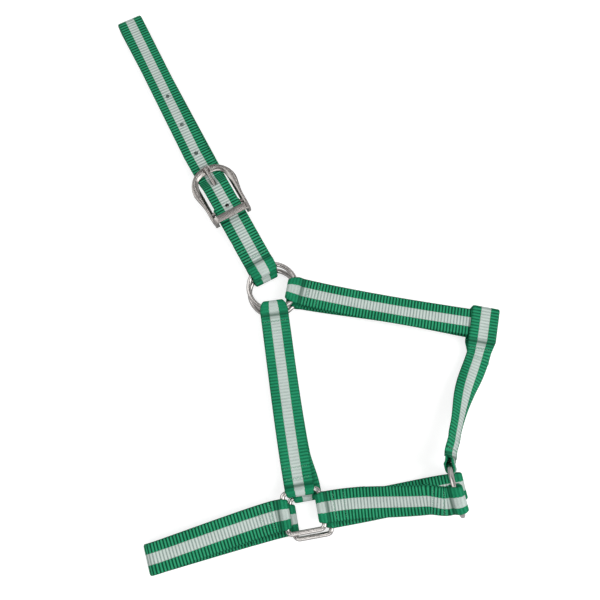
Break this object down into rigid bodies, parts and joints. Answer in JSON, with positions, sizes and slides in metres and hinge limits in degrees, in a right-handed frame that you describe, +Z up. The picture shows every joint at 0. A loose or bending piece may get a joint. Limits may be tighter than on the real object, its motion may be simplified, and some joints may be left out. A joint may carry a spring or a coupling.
{
  "type": "head halter",
  "caption": "Pony head halter of striped webbing with metal rings and a tongue buckle on the crown, laid flat on its side.",
  "frame": {"origin": "on the ground, under the middle of the laid-out halter's bounding box", "axes": "+Z up from the ground; +Y towards the crown end, +X from the cheek straps towards the chin ring"},
  "size_m": [0.3468, 0.5066, 0.0495],
  "materials": {
    "webbing": "ribbed nylon webbing, emerald green with a pale grey middle stripe",
    "thread": "pale sewing thread",
    "polished_nickel": "polished nickel plate on bent wire",
    "satin_nickel": "satin nickel plate on a casting"
  },
  "bodies": {
    "headcollar": {"near_nose_ring": "polished_nickel", "far_nose_ring": "polished_nickel", "near_cheek_strap": "webbing", "far_cheek_strap": "webbing", "noseband": "webbing", "near_chin_strap": "webbing", "far_chin_strap": "webbing", "connecting_strap": "webbing", "near_cheek_stitching": "thread", "far_cheek_stitching": "thread", "noseband_stitching": "thread", "near_chin_stitching": "thread", "far_chin_stitching": "thread", "connecting_stitching": "thread"},
    "near_cheek_ring": {"near_cheek_ring": "polished_nickel"},
    "far_cheek_ring": {"far_cheek_ring": "polished_nickel"},
    "chin_ring": {"chin_ring": "polished_nickel"},
    "throat": {"throat_strap": "webbing", "throat_stitching": "thread"},
    "crown": {"crown_strap": "webbing", "buckle_chape": "webbing", "buckle_frame": "satin_nickel", "crown_stitching": "thread", "chape_stitching": "thread"},
    "tongue": {"buckle_tongue": "satin_nickel"}
  },
  "joints": [
    {"name": "near_cheek_ring_spin", "type": "hinge", "parent": "headcollar", "child": "near_cheek_ring", "pos_m": [-0.02389, -0.01617, 0.0126], "axis": [0, 0, 1], "continuous": true},
    {"name": "far_cheek_ring_spin", "type": "hinge", "parent": "headcollar", "child": "far_cheek_ring", "pos_m": [-0.02329, -0.01937, 0.0041], "axis": [0, 0, 1], "continuous": true},
    {"name": "chin_ring_spin", "type": "hinge", "parent": "headcollar", "child": "chin_ring", "pos_m": [0.12361, -0.18673, 0.02417], "axis": [0.9491, 0.2017, 0.2419], "continuous": true},
    {"name": "crown_swing", "type": "hinge", "parent": "headcollar", "child": "crown", "pos_m": [-0.02359, -0.01777, 0.00835], "axis": [0, 0, 1], "range_deg": [-12, 12]},
    {"name": "throat_swing", "type": "hinge", "parent": "headcollar", "child": "throat", "pos_m": [-0.02359, -0.01777, 0.00835], "axis": [0, 0, 1], "range_deg": [-3, 1], "deforming": ["connecting_strap"]},
    {"name": "tongue_lift", "type": "hinge", "parent": "crown", "child": "tongue", "pos_m": [-0.06402, 0.05534, 0.01625], "axis": [0.8721, 0.4894, 0], "range_deg": [0, 3]}
  ]
}
